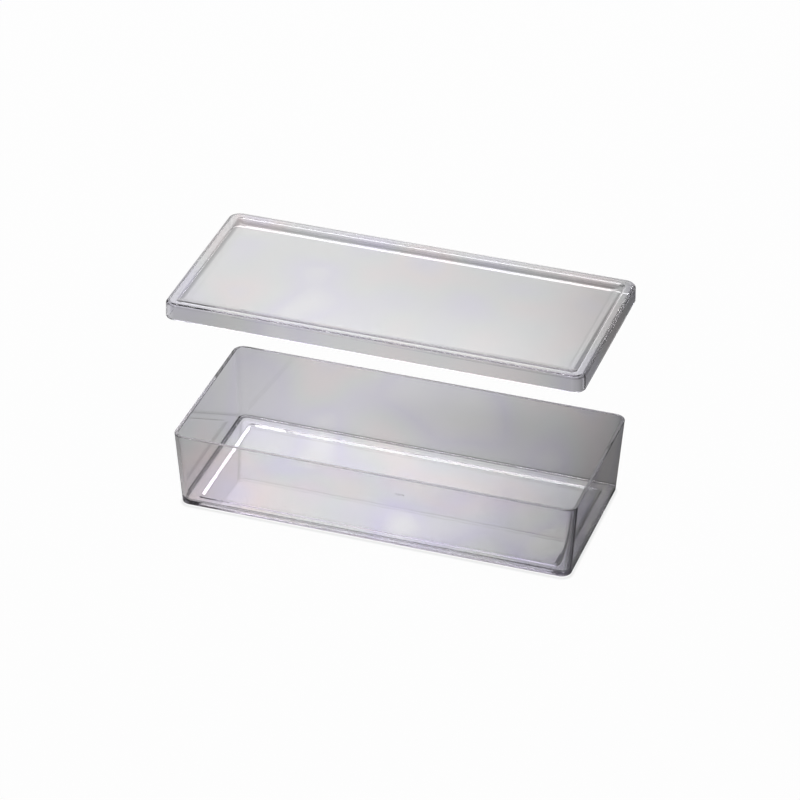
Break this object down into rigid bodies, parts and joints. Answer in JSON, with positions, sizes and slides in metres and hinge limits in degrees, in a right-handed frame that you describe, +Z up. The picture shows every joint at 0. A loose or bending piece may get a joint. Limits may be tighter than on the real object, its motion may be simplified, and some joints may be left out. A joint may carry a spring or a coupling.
{
  "type": "storage box",
  "caption": "Clear rectangular storage box with tapered walls, a plain rim, a low flat foot and a lift-off lid with a recessed top.",
  "frame": {"origin": "middle of the foot's flat underside, on the table", "axes": "+X along the long side, +Y across the box from the pictured long wall to the one behind, +Z up"},
  "size_m": [0.2654, 0.1214, 0.1485],
  "materials": {
    "clear_plastic": "clear moulded plastic with a faint smoke tint, polished"
  },
  "bodies": {
    "tray": {"tray": "clear_plastic"},
    "lid": {"lid": "clear_plastic"}
  },
  "joints": [
    {"name": "lid_lift", "type": "slide", "parent": "tray", "child": "lid", "axis": [0, 0, 1], "range_m": [-0.0945, 0]}
  ]
}
